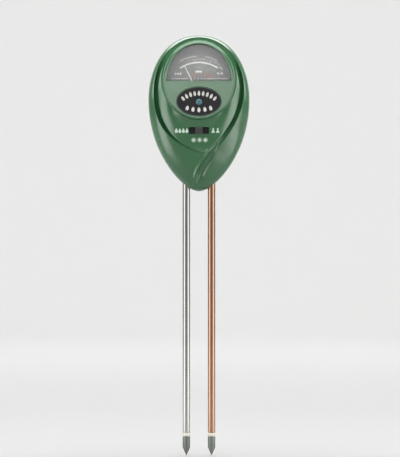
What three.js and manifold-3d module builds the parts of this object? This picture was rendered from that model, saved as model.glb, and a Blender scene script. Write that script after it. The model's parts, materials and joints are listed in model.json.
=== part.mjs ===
// Three-way soil meter: a drop-shaped head with a moving-coil movement and two metal probes.
// Millimetres. +Z up, probes down, dial facing -Y, X to the right as seen from the front.
// Origin: midway between the probe points, which stand at z = 0.
import * as THREE from 'three';
import * as BufferGeometryUtils from 'three/addons/utils/BufferGeometryUtils.js';
import { LoftGeometry } from 'three/addons/geometries/LoftGeometry.js';
import Module from 'manifold-3d';

// ---- Head shell ----
const HEAD_Z = 237;            // height of the widest place of the head
const HALF_WIDTH = 33.7;
const TOP_REACH = 43;          // from the widest place up to the crown
const BOTTOM_REACH = 63;       // from the widest place down to the tail
const TOP_POWER = 0.88;        // fullness of the crown, 1 is an ellipse
const BOTTOM_POWER = 1.42;     // above 1 draws the lower half to a tail
const OUTLINE_POINTS = 56;
const EDGE_POWER = 0.8;        // superellipse power of the rounded edge, 1 is a quarter circle
const EDGE_RINGS = 7;
const INNER_RINGS = 4;
const FLAT_SHARE = 0.5;        // share of the outline that stays flat in front and behind
const FRONT_DEPTH = 16;
const REAR_DEPTH = 18;
const TAPER_TOP = 223.2;       // below this height the front leans back towards the tail
const TAPER = 0.3;             // share of the front depth lost at the tail
const PARTING = 0.15;          // half of the gap between the two shells
const INNER_SCALE = 0.925;     // inner outline as a share of the outer one
const FRONT_WALL = 3.2;
const REAR_WALL = 2.6;
const FIT = 0.3;               // gap between touching pieces

// ---- Raised dial plateau and window ----
const PLATEAU_Z = 249.7;
const PLATEAU_POINTS = 40;
const PLATEAU_RX = 24.2;
const PLATEAU_RZ = 26;
const PLATEAU_Y = -17.6;
const PLATEAU_WALL = 2.2;
const PLATEAU_SIDE_WALL = 1.8;
const WINDOW_Z = 249.3;        // straight base of the half-ellipse window
const WINDOW_RX = 21.3;
const WINDOW_RZ = 24.4;
const WINDOW_THICKNESS = 1.6;
const PLATE_Z = 235.6;         // centre of the oval nameplate
const PLATE_RX = 14.55;
const PLATE_RZ = 9.3;
const PLATE_THICKNESS = 0.5;
const LENS_Z = 235.3;
const LENS_RADIUS = 2.1;

// ---- Decorative groove ----
const GROOVE_RADIUS = 1.4;
const GROOVE_Z = 243.5;
const GROOVE_RX = 28.6;
const GROOVE_RZ = 34;
const JUNCTION = [4.5, 199.9]; // where the two sides of the drop meet and the tail groove starts

// ---- Movement ----
const PIVOT_Z = 239.7;
const POINTER_REST = -26;      // degrees from upright, clockwise positive from the front
const POINTER_MIN = -31;
const POINTER_MAX = 35;
const POINTER_LENGTH = 21.9;
const POINTER_Y = -14;
const HUB_Y = -8.5;
const RING_OUTER = 11.7;
const RING_INNER = 8.3;
const CORE_RADIUS = 4.6;
const CORE_FRONT = -4.5;
const CORE_BACK = 3.5;
const COIL_INNER = 5.3;
const COIL_OUTER = 7.3;
const COIL_FRONT = -6.6;
const COIL_BACK = 5.4;
const COIL_BAR = 1.4;
const STAFF_RADIUS = 0.5;
const BRIDGE_Y = [-11.8, -10.5];
const FRAME_Y = [8, 9.6];
const BRIDGE_POST_X = 13.6;
const DIAL_POST = [17, 246.2];
const FRAME_SCREW = [16, 234.5];
const DIAL_Y = [-12.6, -11.8];
const NOTCH_RADIUS = 8.8;
const STOP_RADIUS = 10.5;
const STOP_TURN = 5.7;         // degrees from a stop pin's centre to the pointer's when they meet

// ---- Selector switch and board ----
const SWITCH_Z = 216.4;
const SLOT = [13.3, 4.4];
const KNOB = [4.9, 4.6];
const TRAY_Y = [-11.7, -7.5];
const BOARD_Y = [-7.2, -6.2];
const BOARD_Z = [207.5, 224.5];
const BOARD_HALF = 15;
const PEG = [12.5, 222];

// ---- Probes ----
const PROBE_X = 8.4;
const TUBE_RADIUS = 2.5;
const TUBE_BORE = 1.9;
const SLEEVE_RADIUS = 1.6;
const SLEEVE_BORE = 1;
const ROD_RADIUS = 0.7;
const TIP_CONE = 5.3;
const TIP_TOP = 12.5;
const COLLAR_Z = [12.8, 14.8];
const TUBE_Z = [15.1, 208];
const CLAMP_Z = [196, 203];
const CLAMP_HALF = 17;
const CLAMP_DEPTH = 5;         // half of the clamp's depth
const CLAMP_SCREW = [14.2, 199.5];

// ---- Case screws: x and z of each ----
const CASE_SCREWS = [[-21.5, 227], [21.5, 227], [0, 189]];
const COUNTERBORE = [3, 9];    // radius, and the y of its floor

const SIDES = [['left', -1], ['right', 1]];

const wasm = await Module();
wasm.setup();

// ---- Solids and booleans ----

// A closed geometry as a Manifold solid, turned so that its faces point out.
function solid(geometry) {
  geometry.deleteAttribute('normal');
  geometry.deleteAttribute('uv');
  const merged = BufferGeometryUtils.mergeVertices(geometry, 1e-4);
  const vertProperties = new Float32Array(merged.attributes.position.array);
  const triVerts = new Uint32Array(merged.index.array);
  if (signedVolume(vertProperties, triVerts) < 0) triVerts.reverse();
  return new wasm.Manifold(new wasm.Mesh({ numProp: 3, vertProperties, triVerts }));
}

function signedVolume(positions, triangles) {
  const [a, b, c] = [new THREE.Vector3(), new THREE.Vector3(), new THREE.Vector3()];
  let volume = 0;
  for (let i = 0; i < triangles.length; i += 3) {
    a.fromArray(positions, triangles[i] * 3);
    b.fromArray(positions, triangles[i + 1] * 3);
    c.fromArray(positions, triangles[i + 2] * 3);
    volume += a.dot(b.cross(c)) / 6;
  }
  return volume;
}

function geometryOf(shape) {
  const { vertProperties, triVerts } = shape.getMesh();
  const geometry = new THREE.BufferGeometry();
  geometry.setAttribute('position', new THREE.BufferAttribute(vertProperties, 3));
  geometry.setIndex(new THREE.BufferAttribute(triVerts, 1));
  return geometry;
}

const joined = (...shapes) => shapes.reduce((whole, shape) => whole.add(shape));
const cut = (shape, ...tools) => tools.reduce((left, tool) => left.subtract(tool), shape);

// ---- Basic shapes ----

function box(x, y, z) {
  const geometry = new THREE.BoxGeometry(x[1] - x[0], y[1] - y[0], z[1] - z[0]);
  return solid(geometry.translate((x[0] + x[1]) / 2, (y[0] + y[1]) / 2, (z[0] + z[1]) / 2));
}

// A round bar along Y.
function bar(radius, y, x = 0, z = PIVOT_Z, sides = 14) {
  const geometry = new THREE.CylinderGeometry(radius, radius, y[1] - y[0], sides);
  return solid(geometry.translate(x, (y[0] + y[1]) / 2, z));
}

// A round bar along Z.
function column(radius, z, x, sides = 16) {
  const geometry = new THREE.CylinderGeometry(radius, radius, z[1] - z[0], sides);
  return solid(geometry.rotateX(Math.PI / 2).translate(x, 0, (z[0] + z[1]) / 2));
}

// A profile of [radius, height] points turned about the Z axis through x.
function turned(profile, x, sides = 16) {
  const points = profile.map(([r, z]) => new THREE.Vector2(r, z));
  return solid(new THREE.LatheGeometry(points, sides).rotateX(Math.PI / 2).translate(x, 0, 0));
}

// A profile of [radius, y] points turned about the Y axis through x and z.
function turnedAcross(profile, x, z, sides = 16) {
  const points = profile.map(([r, y]) => new THREE.Vector2(r, y));
  return solid(new THREE.LatheGeometry(points, sides).translate(x, 0, z));
}

// A shape drawn in X and Z, made thick along Y.
function plate(shape, y, curveSegments = 12) {
  const options = { depth: y[1] - y[0], bevelEnabled: false, curveSegments };
  return solid(new THREE.ExtrudeGeometry(shape, options).rotateX(Math.PI / 2).translate(0, y[1], 0));
}

function ellipseShape(rx, rz, z) {
  return new THREE.Shape().absellipse(0, z, rx, rz, 0, Math.PI * 2);
}

function halfEllipseShape(rx, rz, z) {
  const shape = new THREE.Shape();
  shape.moveTo(rx, z);
  shape.absellipse(0, z, rx, rz, 0, Math.PI);
  shape.closePath();
  return shape;
}

// A round cord along a curve through the given points, with twice as many sides as halfSides.
function cord(points, radius, steps = 8, halfSides = 3) {
  const path = new THREE.CatmullRomCurve3(points.map((p) => new THREE.Vector3(...p)));
  const section = new THREE.Shape().absarc(0, 0, radius, 0, Math.PI * 2);
  const options = { extrudePath: path, steps, curveSegments: halfSides, bevelEnabled: false };
  return solid(new THREE.ExtrudeGeometry(section, options));
}

// ---- Head form ----

// A point of the head outline, relative to the widest place. Angle 0 is the right side.
function outlinePoint(angle) {
  const power = Math.sin(angle) >= 0 ? TOP_POWER : BOTTOM_POWER;
  const reach = Math.sin(angle) >= 0 ? TOP_REACH : BOTTOM_REACH;
  const across = Math.cos(angle);
  return [HALF_WIDTH * Math.sign(across) * Math.abs(across) ** power, reach * Math.sin(angle)];
}

// Share of the front depth left at height z.
function taper(z) {
  const fall = (TAPER_TOP - z) / (TAPER_TOP - HEAD_Z + BOTTOM_REACH);
  return 1 - TAPER * Math.min(Math.max(fall, 0), 1);
}

function outlineSection(scale, y) {
  return Array.from({ length: OUTLINE_POINTS }, (_, i) => {
    const [x, z] = outlinePoint((i / OUTLINE_POINTS) * Math.PI * 2);
    const height = HEAD_Z + z * scale;
    return new THREE.Vector3(x * scale, y < -PARTING ? y * taper(height) : y, height);
  });
}

function lofted(sections) {
  const loft = new LoftGeometry(sections, { closed: true, capStart: true, capEnd: true });
  return solid(new THREE.BufferGeometry().copy(loft));
}

// Half of the head: the outline shrinks along a rounded edge to a flat end. Side is -1 in front.
function dome(side, depth, scale, start, rings = EDGE_RINGS) {
  const sections = [];
  if (start < 0) sections.push(outlineSection(scale, side * start));
  for (let i = 0; i <= rings; i += 1) {
    const angle = (i / rings) * (Math.PI / 2);
    const share = FLAT_SHARE + (1 - FLAT_SHARE) * Math.cos(angle) ** EDGE_POWER;
    const y = PARTING + (depth - PARTING) * Math.sin(angle) ** EDGE_POWER;
    sections.push(outlineSection(scale * share, side * y));
  }
  if (side > 0) sections.forEach((section) => section.reverse());
  return lofted(sections);
}

// Where a place x, z lies between the centre of the head (0) and its outline (1).
function ringShare(x, z) {
  const above = z >= HEAD_Z;
  const power = 2 / (above ? TOP_POWER : BOTTOM_POWER);
  const reach = above ? TOP_REACH : BOTTOM_REACH;
  let [low, high] = [0.01, 1];
  for (let i = 0; i < 30; i += 1) {
    const share = (low + high) / 2;
    const sum = Math.abs(x / (HALF_WIDTH * share)) ** power + ((z - HEAD_Z) / (reach * share)) ** 2;
    if (sum > 1) low = share;
    else high = share;
  }
  return high;
}

// The y of the front surface at x, z, without plateau and groove.
function frontSurface(x, z) {
  const across = Math.max(0, (ringShare(x, z) - FLAT_SHARE) / (1 - FLAT_SHARE));
  const rise = (1 - across ** (2 / EDGE_POWER)) ** (EDGE_POWER / 2);
  return -(PARTING + (FRONT_DEPTH - PARTING) * rise) * taper(z);
}

// The raised disc: an ellipse that narrows a little towards its rounded front edge.
function plateau(rx, rz, frontY) {
  const levels = [[-5, 1.06], [frontY + 1.4, 1.015], [frontY + 0.5, 0.995], [frontY, 0.96]];
  return lofted(levels.map(([y, scale]) => Array.from({ length: PLATEAU_POINTS }, (_, i) => {
    const angle = (i / PLATEAU_POINTS) * Math.PI * 2;
    return new THREE.Vector3(rx * scale * Math.cos(angle), y, PLATEAU_Z + rz * scale * Math.sin(angle));
  })));
}

// One side of the drop-shaped groove: from the crown, down the side, to the junction.
function grooveSide(side, lower) {
  const crown = Array.from({ length: 7 }, (_, i) => {
    const angle = Math.PI / 2 - (i / 7) * (Math.PI / 2);
    return [side * GROOVE_RX * Math.cos(angle), GROOVE_Z + GROOVE_RZ * Math.sin(angle)];
  });
  const start = new THREE.Vector2(side * GROOVE_RX, GROOVE_Z);
  const controls = lower.map(([x, z]) => new THREE.Vector2(x, z));
  const curve = new THREE.CubicBezierCurve(start, ...controls, new THREE.Vector2(...JUNCTION));
  return [...crown, ...curve.getPoints(8).map((p) => [p.x, p.y])];
}

function grooveTool(flat, radius) {
  return cord(flat.map(([x, z]) => [x, frontSurface(x, z), z]), radius, 28, 4);
}

function grooves() {
  const left = grooveSide(-1, [[-28.6, 221], [-22, 209]]);
  const right = grooveSide(1, [[28.6, 222], [11, 205]]);
  const tail = [[2.6, 195.5], [0.5, 190.5], [-0.4, 185], [-0.5, 181]];
  return [grooveTool(left, GROOVE_RADIUS * 0.8), grooveTool([...right, ...tail], GROOVE_RADIUS)];
}

// ---- Shells ----

const probeHoles = () => SIDES.map(([, s]) => column(TUBE_RADIUS + FIT, [170, 194], s * PROBE_X));

function frontShell() {
  const outer = joined(dome(-1, FRONT_DEPTH, 1, PARTING), plateau(PLATEAU_RX, PLATEAU_RZ, PLATEAU_Y));
  const hollow = joined(
    dome(-1, FRONT_DEPTH - FRONT_WALL, INNER_SCALE, -1, INNER_RINGS),
    plateau(PLATEAU_RX - PLATEAU_SIDE_WALL, PLATEAU_RZ - PLATEAU_SIDE_WALL, PLATEAU_Y + PLATEAU_WALL),
  );
  const bosses = CASE_SCREWS.map(([x, z]) => bar(3, [-15, -FIT], x, z));
  const pegs = SIDES.flatMap(([, s]) => [
    bar(1.5, [-15, BOARD_Y[0] - FIT], s * PEG[0], PEG[1], 12),
    bar(0.7, [-15, BOARD_Y[1] + 0.6], s * PEG[0], PEG[1], 12),
  ]);
  const inside = joined(...bosses, ...pegs).intersect(dome(-1, FRONT_DEPTH - 1, 1, PARTING));
  const screwHoles = CASE_SCREWS.map(([x, z]) => bar(1.3, [-9, 1], x, z, 12));
  return cut(
    joined(cut(outer, hollow), inside),
    ...grooves(),
    plate(halfEllipseShape(WINDOW_RX, WINDOW_RZ, WINDOW_Z), [-19, -13], 16),
    plate(ellipseShape(PLATE_RX + FIT, PLATE_RZ + FIT, PLATE_Z), [-19, -17], 16),
    bar(LENS_RADIUS + FIT, [-19, -13], 0, LENS_Z),
    box([-SLOT[0] / 2, SLOT[0] / 2], [-19, -11], [SWITCH_Z - SLOT[1] / 2, SWITCH_Z + SLOT[1] / 2]),
    ...probeHoles(),
    ...screwHoles,
  );
}

function rearCover() {
  const outer = dome(1, REAR_DEPTH, 1, PARTING);
  const hollow = dome(1, REAR_DEPTH - REAR_WALL, INNER_SCALE, -1, INNER_RINGS);
  const bosses = CASE_SCREWS.map(([x, z]) => bar(4.4, [PARTING, 20], x, z));
  const [clampX, clampZ] = CLAMP_SCREW;
  const [frameX, frameZ] = FRAME_SCREW;
  const clampPosts = SIDES.map(([, s]) => bar(2.6, [CLAMP_DEPTH + FIT, 20], s * clampX, clampZ));
  const framePosts = SIDES.map(([, s]) => bar(2.4, [FRAME_Y[1] + FIT, 20], s * frameX, frameZ));
  const inside = joined(...bosses, ...clampPosts, ...framePosts).intersect(outer);
  const tongue = joined(
    box([-5, 5], [PARTING, 2], [273.4, 278.4]),
    box([-5, 5], [-3, 1], [273.4, 275.3]),
  );
  const body = joined(cut(outer, hollow), inside, tongue);
  const counterbores = CASE_SCREWS.map(([x, z]) => bar(COUNTERBORE[0], [COUNTERBORE[1], 20], x, z));
  const screwHoles = CASE_SCREWS.map(([x, z]) => bar(1.6, [-1, 20], x, z, 12));
  const clampHoles = SIDES.map(([, s]) => bar(1.2, [4, 11], s * clampX, clampZ, 12));
  const frameHoles = SIDES.map(([, s]) => bar(1.1, [9, 14], s * frameX, frameZ, 12));
  return cut(body, ...counterbores, ...screwHoles, ...clampHoles, ...frameHoles, ...probeHoles());
}

// A pan-head screw along Y. The head's flat face points to the sign of towards.
function screw(x, z, headRadius, shankRadius, head, shank, towards) {
  const grow = 0.01;
  const slot = head[towards > 0 ? 1 : 0];
  const shankY = [Math.min(shank[0], head[0] + grow), Math.max(shank[1], head[1] - grow)];
  const body = joined(bar(headRadius, head, x, z, 16), bar(shankRadius, shankY, x, z, 12));
  const depth = 0.5;
  const y = towards > 0 ? [slot - depth, slot + 1] : [slot - 1, slot + depth];
  const long = headRadius * 0.65;
  const wide = headRadius * 0.18;
  return cut(
    body,
    box([x - long, x + long], y, [z - wide, z + wide]),
    box([x - wide, x + wide], y, [z - long, z + long]),
  );
}

// ---- Movement ----

function movementFrame() {
  const half = 1.5;
  const posts = SIDES.flatMap(([, s]) => [
    box(
      [s * BRIDGE_POST_X - half, s * BRIDGE_POST_X + half],
      [BRIDGE_Y[1] + FIT, 9],
      [PIVOT_Z - half, PIVOT_Z + half],
    ),
    bar(1.8, [DIAL_Y[1] + FIT, 9], s * DIAL_POST[0], DIAL_POST[1]),
  ]);
  const holes = SIDES.flatMap(([, s]) => [
    bar(0.9, [-11, -6], s * BRIDGE_POST_X, PIVOT_Z, 10),
    bar(1.1, [-13, -6], s * DIAL_POST[0], DIAL_POST[1], 10),
    bar(1.1, [7, 11], s * FRAME_SCREW[0], FRAME_SCREW[1], 10),
  ]);
  const base = box([-19, 19], FRAME_Y, [232, 250]);
  return cut(joined(base, ...posts), ...holes, bar(1.8, [7, 11]));
}

function frontBridge() {
  const bridge = box([-15.5, 15.5], BRIDGE_Y, [PIVOT_Z - 2.4, PIVOT_Z + 2.4]);
  const holes = SIDES.map(([, s]) => bar(0.9, [-13, -9], s * BRIDGE_POST_X, PIVOT_Z, 10));
  return cut(bridge, ...holes, bar(1.8, [-13, -9]));
}

function dialPlate() {
  const shape = new THREE.Shape();
  const [rx, rz] = [WINDOW_RX + 0.4, WINDOW_RZ - 0.5];
  shape.moveTo(rx, PLATEAU_Z);
  shape.absellipse(0, PLATEAU_Z, rx, rz, 0, Math.PI);
  shape.lineTo(-19.5, 243.5);
  shape.lineTo(19.5, 243.5);
  shape.closePath();
  const holes = SIDES.map(([, s]) => bar(1.1, [-14, -11], s * DIAL_POST[0], DIAL_POST[1], 10));
  return cut(plate(shape, DIAL_Y, 12), bar(NOTCH_RADIUS, [-14, -11], 0, PIVOT_Z, 24), ...holes);
}

function movingCoil() {
  const loop = box([-COIL_OUTER, COIL_OUTER], [COIL_FRONT, COIL_BACK], [-0.8, 0.8]);
  const middle = box([-COIL_INNER, COIL_INNER], [COIL_FRONT + COIL_BAR, COIL_BACK - COIL_BAR], [-2, 2]);
  return cut(loop, middle);
}

// The pointer, upright: a hub on the staff, an arm that steps forward over the dial, and a tail.
function pointer() {
  const lower = [HUB_Y - 0.25, HUB_Y + 0.25];
  const upper = [POINTER_Y - 0.2, POINTER_Y + 0.2];
  const arm = new THREE.Shape();
  arm.moveTo(-0.45, 7.2);
  arm.lineTo(0.45, 7.2);
  arm.lineTo(0.3, POINTER_LENGTH);
  arm.lineTo(-0.3, POINTER_LENGTH);
  arm.closePath();
  const body = joined(
    bar(1.8, [HUB_Y - 0.3, HUB_Y + 0.3], 0, 0, 16),
    box([-0.45, 0.45], lower, [-5, 7.7]),
    box([-0.45, 0.45], [upper[0], lower[1]], [7.2, 7.7]),
    plate(arm, upper),
  );
  return cut(body, bar(STAFF_RADIUS + FIT, [-10, -7], 0, 0, 10));
}

// A flat spiral spring of three turns round the staff.
function hairspring(y) {
  const [turns, steps, inner, pitch, thick] = [3, 30, 1.3, 0.95, 0.25];
  const at = (i, extra) => {
    const angle = (i / steps) * turns * Math.PI * 2;
    const radius = inner + (i / steps) * turns * pitch + extra;
    return [radius * Math.cos(angle), PIVOT_Z + radius * Math.sin(angle)];
  };
  const shape = new THREE.Shape();
  shape.moveTo(...at(0, 0));
  for (let i = 1; i <= steps; i += 1) shape.lineTo(...at(i, 0));
  for (let i = steps; i >= 0; i -= 1) shape.lineTo(...at(i, thick));
  shape.closePath();
  return plate(shape, y);
}

// ---- Switch ----

function switchBody() {
  const tray = box([-8.6, 8.6], TRAY_Y, [SWITCH_Z - 4.4, SWITCH_Z + 4.4]);
  return cut(tray, box([-7.2, 7.2], [-14, -9.2], [SWITCH_Z - 2.7, SWITCH_Z + 2.7]));
}

function switchKnob() {
  const capY = [-17.4, -16.3];
  const half = [KNOB[0] / 2, KNOB[1] / 2];
  const cap = box([-half[0], half[0]], capY, [SWITCH_Z - half[1], SWITCH_Z + half[1]]);
  const stem = box([-1.6, 1.6], [-16.4, -10.6], [SWITCH_Z - 1.8, SWITCH_Z + 1.8]);
  const grips = [-1.5, -0.5, 0.5, 1.5].map((x) =>
    box([x - 0.2, x + 0.2], [-18, -17], [SWITCH_Z - 3, SWITCH_Z + 3]));
  return cut(joined(cap, stem), ...grips);
}

function circuitBoard() {
  const board = box([-BOARD_HALF, BOARD_HALF], BOARD_Y, BOARD_Z);
  return cut(board, ...SIDES.map(([, s]) => bar(1, [-8, -5], s * PEG[0], PEG[1], 12)));
}

// ---- Probes ----

function probeTip(x) {
  const hole = 7.5;
  const profile = [[0, 0], [TUBE_RADIUS, TIP_CONE], [TUBE_RADIUS, TIP_TOP], [SLEEVE_BORE, TIP_TOP],
    [SLEEVE_BORE, hole], [0, hole]];
  return turned(profile, x);
}

function pipe(inner, outer, z, x) {
  const profile = [[inner, z[0]], [outer, z[0]], [outer, z[1]], [inner, z[1]], [inner, z[0]]];
  return turned(profile, x);
}

function probeClamp() {
  const bars = box([-CLAMP_HALF, CLAMP_HALF], [-CLAMP_DEPTH, CLAMP_DEPTH], CLAMP_Z);
  const bores = SIDES.map(([, s]) => column(TUBE_RADIUS + FIT, [190, 210], s * PROBE_X));
  const holes = SIDES.map(([, s]) => bar(1.2, [-6, 6], s * CLAMP_SCREW[0], CLAMP_SCREW[1], 12));
  return cut(bars, ...bores, ...holes);
}

// A ring terminal round the tube, with a tab to the back for the wire.
function lug(x) {
  const ring = pipe(TUBE_RADIUS + FIT, 4.3, [205, 205.8], x);
  return joined(ring, box([x - 1.2, x + 1.2], [3.6, 7], [205, 205.8]));
}

// ---- Materials ----

function material(color, roughness, metalness) {
  return new THREE.MeshStandardMaterial({ color, roughness, metalness });
}

const greenPlastic = material(0x386948, 0.32, 0);
const blackPlastic = material(0x17191a, 0.4, 0);
const greyPlastic = material(0x2b2c2c, 0.45, 0);
const clearPlastic = new THREE.MeshStandardMaterial({
  color: 0xffffff, roughness: 0.05, metalness: 0, transparent: true, opacity: 0.25,
});
const dialGrey = material(0x8b8b89, 0.6, 0);
const whitePaint = material(0xf0efea, 0.5, 0);
const tealLens = material(0x4f8c93, 0.15, 0);
const creamPlastic = material(0xd8d2bf, 0.5, 0);
const brightSteel = material(0xc9c9c6, 0.22, 1);
const copper = material(0xc07a52, 0.28, 1);
const zinc = material(0x6d716d, 0.45, 1);
const iron = material(0x4c4a48, 0.55, 1);
const brass = material(0xb8955a, 0.35, 1);
const aluminium = material(0xb4b6b8, 0.35, 1);
const coilCopper = material(0x8a4a2c, 0.45, 0.6);
const boardGreen = material(0x2f5a3c, 0.5, 0);
const redWire = material(0x9c2b25, 0.5, 0);
const blackWire = material(0x202020, 0.5, 0);

// ---- Assembly ----

const meter = new THREE.Group();

function add(name, shape, look, group = meter) {
  const mesh = new THREE.Mesh(geometryOf(shape), look);
  mesh.name = name;
  group.add(mesh);
}

// Head.
add('front_shell', frontShell(), greenPlastic);
add('rear_cover', rearCover(), greenPlastic);
const pane = halfEllipseShape(WINDOW_RX - FIT, WINDOW_RZ - 2 * FIT, WINDOW_Z + FIT);
add('dial_window', plate(pane, [PLATEAU_Y + 0.3, PLATEAU_Y + 0.3 + WINDOW_THICKNESS], 16), clearPlastic);
const badgeY = [PLATEAU_Y - 0.2, PLATEAU_Y - 0.2 + PLATE_THICKNESS];
const badge = plate(ellipseShape(PLATE_RX, PLATE_RZ, PLATE_Z), badgeY, 16);
add('nameplate', cut(badge, bar(LENS_RADIUS + FIT, [-19, -16], 0, LENS_Z)), blackPlastic);
const lensDome = [[LENS_RADIUS, -17.2], [0.72 * LENS_RADIUS, -17.7], [0.4 * LENS_RADIUS, -17.93]];
const lensProfile = [[0, -16], [LENS_RADIUS, -16], ...lensDome, [0, -18]];
add('sensor_lens', turnedAcross(lensProfile, 0, LENS_Z), tealLens);
add('photocell', bar(2.8, [-15.1, -12.4], 0, LENS_Z), greyPlastic);
CASE_SCREWS.forEach(([x, z], i) => {
  add(`case_screw_${i + 1}`, screw(x, z, 2.6, 1, [9.3, 11.2], [-7.5, 9.5], 1), brightSteel);
});

// Dial.
add('dial_plate', dialPlate(), dialGrey);
for (const [name, s] of SIDES) {
  const [x, z] = DIAL_POST;
  add(`dial_screw_${name}`, screw(s * x, z, 1.5, 0.8, [-13.8, -12.9], [-13, -7], -1), brass);
  const angle = THREE.MathUtils.degToRad(s < 0 ? POINTER_MIN - STOP_TURN : POINTER_MAX + STOP_TURN);
  const pinX = STOP_RADIUS * Math.sin(angle);
  const pinZ = PIVOT_Z + STOP_RADIUS * Math.cos(angle);
  add(`stop_pin_${name}`, bar(0.5, [-15.1, -12.9], pinX, pinZ, 10), brass);
}

// Fixed pieces of the movement.
add('movement_frame', movementFrame(), blackPlastic);
add('front_bridge', frontBridge(), aluminium);
for (const [name, s] of SIDES) {
  const bridgeX = s * BRIDGE_POST_X;
  add(`bridge_screw_${name}`, screw(bridgeX, PIVOT_Z, 1.3, 0.6, [-13, -12.1], [-12.2, -7], -1), brass);
  const [x, z] = FRAME_SCREW;
  add(`movement_screw_${name}`, screw(s * x, z, 1.7, 0.8, [6.2, 7.7], [7, 13], -1), brightSteel);
}
const magnetY = [CORE_FRONT, CORE_BACK];
const ringBore = bar(RING_INNER, [-9, 9], 0, PIVOT_Z, 24);
add('return_ring', cut(bar(RING_OUTER, magnetY, 0, PIVOT_Z, 28), ringBore), iron);
add('core_magnet', bar(CORE_RADIUS, magnetY, 0, PIVOT_Z, 20), iron);
for (const [name, s] of [['top', 1], ['bottom', -1]]) {
  const reach = [PIVOT_Z + s * (CORE_RADIUS + FIT), PIVOT_Z + s * (RING_INNER - FIT)].sort((a, b) => a - b);
  add(`core_pin_${name}`, column(0.9, reach, 0, 10), brass);
}
add('jewel_screw_front', screw(0, PIVOT_Z, 1.5, 1.5, [-12.3, -11], [-11.5, -10.2], -1), brass);
add('jewel_screw_rear', screw(0, PIVOT_Z, 1.5, 1.5, [9.5, 11], [8.6, 10], 1), brass);
add('hairspring_front', hairspring([-9.8, -9.3]), brass);
add('hairspring_rear', hairspring([6.6, 7.1]), brass);

// Turning pieces of the movement, drawn upright and turned to the rest angle.
const needle = new THREE.Group();
needle.position.set(0, 0, PIVOT_Z);
needle.rotation.y = THREE.MathUtils.degToRad(POINTER_REST);
add('moving_coil', movingCoil(), coilCopper, needle);
add('pivot_front', bar(STAFF_RADIUS, [-9.9, COIL_FRONT - FIT], 0, 0, 12), brightSteel, needle);
add('pivot_rear', bar(STAFF_RADIUS, [COIL_BACK + FIT, 8.3], 0, 0, 12), brightSteel, needle);
add('pointer', pointer(), whitePaint, needle);
add('balance_weight', box([-1.2, 1.2], [HUB_Y - 0.7, HUB_Y + 0.7], [-7.4, -5.3]), brass, needle);
meter.add(needle);

// Selector switch and board.
add('switch_body', switchBody(), blackPlastic);
add('switch_knob', switchKnob(), greyPlastic);
add('switch_wiper', box([-2.2, 2.2], [-10.3, -9.5], [SWITCH_Z - 1.4, SWITCH_Z + 1.4]), brass);
add('circuit_board', circuitBoard(), boardGreen);
add('shunt_resistor', solid(new THREE.CapsuleGeometry(1.1, 4.5, 3, 12)
  .rotateZ(Math.PI / 2).translate(-3, -4.7, 219)), creamPlastic);
add('trimmer', box([5, 9.5], [-5.9, -3.4], [208.6, 213.1]), tealLens);

// Wires: from the probes, to the coil and to the light cell.
for (const [name, s] of SIDES) {
  const look = s < 0 ? redWire : blackWire;
  const fromProbe = [[s * 8.4, 6, 206.3], [s * 8.6, 5.6, 209], [s * 10, 0, 213.5], [s * 11, -5.8, 215]];
  add(`probe_wire_${name}`, cord(fromProbe, 0.55), look);
  const lower = [[s * 13, -5.8, 218.5], [s * 14.5, -2.5, 222]];
  const upper = [[s * 16.4, 0, 230.5], [s * 17, 4, 237], [s * 17, 7.5, 241]];
  add(`coil_wire_${name}`, cord([...lower, ...upper], 0.5), look);
  const fromCell = [[s * 1.4, -11.9, 234], [s * 1.6, -11.2, 230.5]];
  const toBoard = [[s * 2.6, -9.6, 226], [s * 3, -7.7, 222.7]];
  add(`cell_wire_${name}`, cord([...fromCell, ...toBoard], 0.4), look);
}

// Probes, tip to terminal.
for (const [name, s] of SIDES) {
  const x = s * PROBE_X;
  add(`probe_tip_${name}`, probeTip(x), zinc);
  add(`probe_collar_${name}`, pipe(SLEEVE_BORE, TUBE_RADIUS + 0.15, COLLAR_Z, x), creamPlastic);
  add(`probe_tube_${name}`, pipe(TUBE_BORE, TUBE_RADIUS, TUBE_Z, x), s < 0 ? brightSteel : copper);
  const sleeveZ = [TUBE_Z[0], TUBE_Z[1] + 1.5];
  add(`probe_sleeve_${name}`, pipe(SLEEVE_BORE, SLEEVE_RADIUS, sleeveZ, x), creamPlastic);
  add(`probe_rod_${name}`, column(ROD_RADIUS, [7.8, TUBE_Z[1] + 4], x, 10), brass);
  add(`probe_lug_${name}`, lug(x), brass);
  const [clampX, clampZ] = CLAMP_SCREW;
  const clampScrew = screw(s * clampX, clampZ, 1.9, 0.9, [-7, -5.3], [-6, 10], -1);
  add(`clamp_screw_${name}`, clampScrew, brightSteel);
}
add('probe_clamp', probeClamp(), blackPlastic);

export default meter;
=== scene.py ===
"""Looks for the three-way soil meter: a drop-shaped green head on a steel and a copper probe.

The object's sizes are in millimetres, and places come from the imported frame. Noise and bump
sizes in the materials, and the stage, the lights and the camera, are in metres.
"""
import json
import math

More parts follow.
